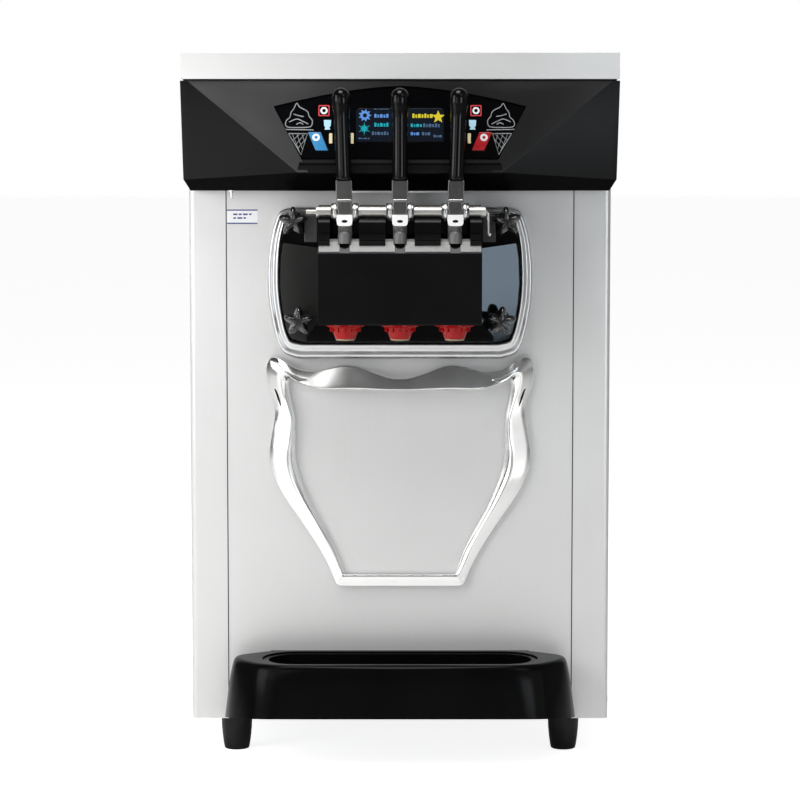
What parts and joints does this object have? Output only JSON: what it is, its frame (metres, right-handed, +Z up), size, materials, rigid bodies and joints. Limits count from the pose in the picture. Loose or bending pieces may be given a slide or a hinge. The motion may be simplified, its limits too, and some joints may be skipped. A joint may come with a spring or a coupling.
{
  "type": "soft serve machine",
  "caption": "Countertop soft serve machine with draw handles over a dispensing block, hoppers under a top lid, a bright panel trim and a drip tray in front.",
  "frame": {"origin": "centre of the overall box in plan, at the bottom of the feet", "axes": "+X to the machine's right as seen from the front, +Y towards its back, +Z up; the front faces -Y"},
  "size_m": [0.534, 0.75, 0.876],
  "materials": {
    "cabinet_steel": "brushed stainless sheet, vertical grain",
    "top_steel": "brushed stainless sheet, fine grain",
    "head_black": "satin black moulding",
    "fascia_black": "gloss black printed panel",
    "display": "dark display window with blue and yellow read-outs",
    "key_blue": "gloss blue key",
    "key_red": "gloss red key",
    "trim_chrome": "bright chrome plating",
    "lever_chrome": "polished metal",
    "grip_black": "gloss black grip",
    "block_black": "gloss black moulding",
    "knob_black": "semi-gloss black moulding",
    "plunger_white": "white acetal",
    "nozzle_red": "gloss red cap",
    "tray_black": "gloss black moulding",
    "pan_black": "semi-gloss black moulding",
    "foot_rubber": "black rubber",
    "food_steel": "fine brushed stainless",
    "frame_steel": "grey paint",
    "drive_metal": "dark machined iron",
    "belt_rubber": "black belt rubber",
    "compressor_black": "black paint",
    "fin_metal": "plain aluminium fins",
    "lid_black": "textured black lid"
  },
  "bodies": {
    "cabinet": {"air_tube_left": "plunger_white", "air_tube_right": "plunger_white", "chassis": "frame_steel", "compressor": "compressor_black", "condenser": "fin_metal", "control_box": "frame_steel", "control_fascia": "fascia_black", "cord_gland": "foot_rubber", "cylinder_faceplate": "food_steel", "dispensing_block": "block_black", "display_window": "display", "door_surround": "trim_chrome", "drip_tray": "tray_black", "drive_belt": "belt_rubber", "drive_motor": "frame_steel", "fan_motor": "frame_steel", "freezing_cylinder_left": "food_steel", "freezing_cylinder_right": "food_steel", "front_left_foot": "foot_rubber", "front_panel": "cabinet_steel", "front_right_foot": "foot_rubber", "gearbox_left": "frame_steel", "gearbox_right": "frame_steel", "head_cover": "head_black", "hopper_left": "food_steel", "hopper_right": "food_steel", "left_side_panel": "cabinet_steel", "panel_trim": "trim_chrome", "rear_left_foot": "foot_rubber", "rear_panel": "cabinet_steel", "rear_right_foot": "foot_rubber", "right_side_panel": "cabinet_steel", "star_nozzle_centre": "nozzle_red", "star_nozzle_left": "nozzle_red", "star_nozzle_right": "nozzle_red", "top_deck": "top_steel"},
    "handle_left": {"handle_lever_left": "lever_chrome", "handle_grip_left": "grip_black"},
    "plunger_left": {"valve_plunger_left": "plunger_white"},
    "handle_centre": {"handle_lever_centre": "lever_chrome", "handle_grip_centre": "grip_black"},
    "plunger_centre": {"valve_plunger_centre": "plunger_white"},
    "handle_right": {"handle_lever_right": "lever_chrome", "handle_grip_right": "grip_black"},
    "plunger_right": {"valve_plunger_right": "plunger_white"},
    "knob_upper_left": {"star_knob_upper_left": "knob_black"},
    "knob_upper_right": {"star_knob_upper_right": "knob_black"},
    "knob_lower_left": {"star_knob_lower_left": "knob_black"},
    "knob_lower_right": {"star_knob_lower_right": "knob_black"},
    "pivot_pin": {"pivot_pin": "lever_chrome"},
    "blue_key": {"left_key": "key_blue"},
    "red_key": {"right_key": "key_red"},
    "hopper_lid": {"hopper_lid": "lid_black"},
    "drip_pan": {"drip_pan": "pan_black"},
    "beater_left": {"beater_left": "plunger_white"},
    "gearbox_pulley_left": {"gearbox_pulley_left": "drive_metal"},
    "beater_right": {"beater_right": "plunger_white"},
    "gearbox_pulley_right": {"gearbox_pulley_right": "drive_metal"},
    "motor_pulley": {"motor_pulley": "drive_metal"},
    "fan": {"fan_blade": "compressor_black"}
  },
  "joints": [
    {"name": "handle_left_pull", "type": "hinge", "parent": "cabinet", "child": "handle_left", "pos_m": [-0.0665, -0.349, 0.6843], "axis": [1, 0, 0], "range_deg": [0, 45]},
    {"name": "plunger_left_lift", "type": "slide", "parent": "cabinet", "child": "plunger_left", "axis": [0, 0, 1], "range_m": [0, 0.0186]},
    {"name": "handle_centre_pull", "type": "hinge", "parent": "cabinet", "child": "handle_centre", "pos_m": [0, -0.349, 0.6843], "axis": [1, 0, 0], "range_deg": [0, 45]},
    {"name": "plunger_centre_lift", "type": "slide", "parent": "cabinet", "child": "plunger_centre", "axis": [0, 0, 1], "range_m": [0, 0.0186]},
    {"name": "handle_right_pull", "type": "hinge", "parent": "cabinet", "child": "handle_right", "pos_m": [0.0665, -0.349, 0.6843], "axis": [1, 0, 0], "range_deg": [0, 45]},
    {"name": "plunger_right_lift", "type": "slide", "parent": "cabinet", "child": "plunger_right", "axis": [0, 0, 1], "range_m": [0, 0.0186]},
    {"name": "knob_upper_left_turn", "type": "hinge", "parent": "cabinet", "child": "knob_upper_left", "pos_m": [-0.13, -0.2975, 0.6716], "axis": [0, -1, 0], "continuous": true},
    {"name": "knob_upper_right_turn", "type": "hinge", "parent": "cabinet", "child": "knob_upper_right", "pos_m": [0.13, -0.2975, 0.6716], "axis": [0, -1, 0], "continuous": true},
    {"name": "knob_lower_left_turn", "type": "hinge", "parent": "cabinet", "child": "knob_lower_left", "pos_m": [-0.1235, -0.2975, 0.5503], "axis": [0, -1, 0], "continuous": true},
    {"name": "knob_lower_right_turn", "type": "hinge", "parent": "cabinet", "child": "knob_lower_right", "pos_m": [0.1235, -0.2975, 0.5503], "axis": [0, -1, 0], "continuous": true},
    {"name": "pivot_pin_pull", "type": "slide", "parent": "cabinet", "child": "pivot_pin", "axis": [1, 0, 0], "range_m": [0, 0.21]},
    {"name": "blue_key_press", "type": "slide", "parent": "cabinet", "child": "blue_key", "axis": [0, 0.9774, -0.2113], "range_m": [0, 0.0007], "stiffness_N_per_m": 600},
    {"name": "red_key_press", "type": "slide", "parent": "cabinet", "child": "red_key", "axis": [0, 0.9774, -0.2113], "range_m": [0, 0.0007], "stiffness_N_per_m": 600},
    {"name": "hopper_lid_lift", "type": "slide", "parent": "cabinet", "child": "hopper_lid", "axis": [0, 0, 1], "range_m": [0, 0.15]},
    {"name": "drip_pan_lift", "type": "slide", "parent": "cabinet", "child": "drip_pan", "axis": [0, 0, 1], "range_m": [0, 0.07]},
    {"name": "motor_pulley_spin", "type": "hinge", "parent": "cabinet", "child": "motor_pulley", "pos_m": [0.14, 0.253, 0.15], "axis": [0, 1, 0], "continuous": true},
    {"name": "gearbox_pulley_left_spin", "type": "hinge", "parent": "cabinet", "child": "gearbox_pulley_left", "pos_m": [-0.072, 0.253, 0.605], "axis": [0, 1, 0], "continuous": true},
    {"name": "beater_left_spin", "type": "hinge", "parent": "cabinet", "child": "beater_left", "pos_m": [-0.072, -0.241, 0.605], "axis": [0, 1, 0], "continuous": true},
    {"name": "gearbox_pulley_right_spin", "type": "hinge", "parent": "cabinet", "child": "gearbox_pulley_right", "pos_m": [0.072, 0.253, 0.605], "axis": [0, 1, 0], "continuous": true},
    {"name": "beater_right_spin", "type": "hinge", "parent": "cabinet", "child": "beater_right", "pos_m": [0.072, -0.241, 0.605], "axis": [0, 1, 0], "continuous": true},
    {"name": "fan_spin", "type": "hinge", "parent": "cabinet", "child": "fan", "pos_m": [-0.168, 0.103, 0.255], "axis": [1, 0, 0], "continuous": true}
  ],
  "couplings": [
    {"joint": "plunger_left_lift", "follows": "handle_left_pull", "m_per_rad": 0.02343},
    {"joint": "plunger_centre_lift", "follows": "handle_centre_pull", "m_per_rad": 0.02343},
    {"joint": "plunger_right_lift", "follows": "handle_right_pull", "m_per_rad": 0.02343},
    {"joint": "gearbox_pulley_left_spin", "follows": "motor_pulley_spin", "ratio": 0.519},
    {"joint": "beater_left_spin", "follows": "motor_pulley_spin", "ratio": 0.104},
    {"joint": "gearbox_pulley_right_spin", "follows": "motor_pulley_spin", "ratio": 0.519},
    {"joint": "beater_right_spin", "follows": "motor_pulley_spin", "ratio": 0.104}
  ]
}
